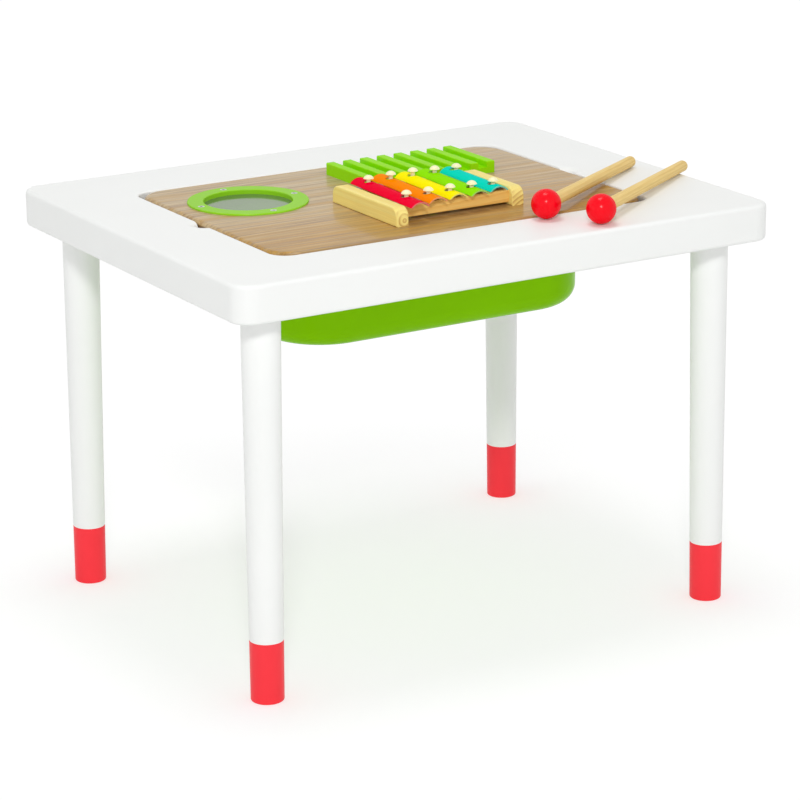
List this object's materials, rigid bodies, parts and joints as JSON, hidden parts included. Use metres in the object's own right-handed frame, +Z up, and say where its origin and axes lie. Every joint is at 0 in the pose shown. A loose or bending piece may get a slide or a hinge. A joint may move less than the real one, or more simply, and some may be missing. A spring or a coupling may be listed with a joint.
{
  "type": "musical activity table",
  "caption": "Low four-legged play table with a lift-out board over a hanging tub; the board carries a drum, a ridged scraper and a small xylophone, with two mallets lying on top",
  "frame": {"origin": "on the floor, below the centre of the table top", "axes": "+X along the long side to the child's right, +Y from the front of the table to the back, +Z up"},
  "size_m": [0.6633, 0.515, 0.4895],
  "materials": {
    "white_lacquer": "satin white lacquer",
    "foot_red": "satin red",
    "zinc": "zinc plated",
    "brass_insert": "plain",
    "tub_green": "satin green",
    "bamboo": "satin clear lacquer over bamboo",
    "ring_green": "gloss green",
    "drum_head": "glossy grey-green film",
    "guiro_green": "gloss green paint",
    "pine": "clear lacquer over pine",
    "rail_wood": "clear lacquer",
    "felt": "felt",
    "bar_red": "gloss red",
    "bar_orange": "gloss orange",
    "bar_yellow": "gloss yellow",
    "bar_green": "gloss green",
    "bar_teal": "gloss teal",
    "pin_cream": "gloss cream",
    "mallet_red": "gloss red paint",
    "handle_wood": "clear lacquer"
  },
  "bodies": {
    "table": {"table_top": "white_lacquer", "leg_bolts": "zinc", "leg_inserts": "brass_insert", "leg_front_left": "white_lacquer", "leg_front_right": "white_lacquer", "leg_back_left": "white_lacquer", "leg_back_right": "white_lacquer", "foot_front_left": "foot_red", "foot_front_right": "foot_red", "foot_back_left": "foot_red", "foot_back_right": "foot_red"},
    "tub": {"tub": "tub_green"},
    "board": {"activity_board": "bamboo", "drum_ring": "ring_green", "drum_skin": "drum_head", "ring_screws": "zinc", "guiro": "guiro_green", "guiro_screws": "zinc", "block_screws": "zinc", "xylo_block_left": "pine", "xylo_block_right": "pine", "rail_dowels": "pine", "xylo_rail_front": "rail_wood", "xylo_rail_back": "rail_wood", "felt_strip_front": "felt", "felt_strip_back": "felt", "bar_pins_front": "pin_cream", "bar_pins_back": "pin_cream", "bar_red": "bar_red", "bar_orange": "bar_orange", "bar_yellow": "bar_yellow", "bar_green": "bar_green", "bar_teal": "bar_teal"},
    "mallet_a": {"mallet_a_head": "mallet_red", "mallet_a_handle": "handle_wood"},
    "mallet_b": {"mallet_b_head": "mallet_red", "mallet_b_handle": "handle_wood"}
  },
  "joints": [
    {"name": "tub_lift", "type": "slide", "parent": "table", "child": "tub", "axis": [0, 0, 1], "range_m": [0, 0.14]},
    {"name": "board_lift", "type": "slide", "parent": "tub", "child": "board", "axis": [0, 0, 1], "range_m": [0, 0.1]},
    {"name": "mallet_a_lift", "type": "slide", "parent": "board", "child": "mallet_a", "axis": [0, 0, 1], "range_m": [0, 0.08]},
    {"name": "mallet_b_lift", "type": "slide", "parent": "board", "child": "mallet_b", "axis": [0, 0, 1], "range_m": [0, 0.08]}
  ]
}
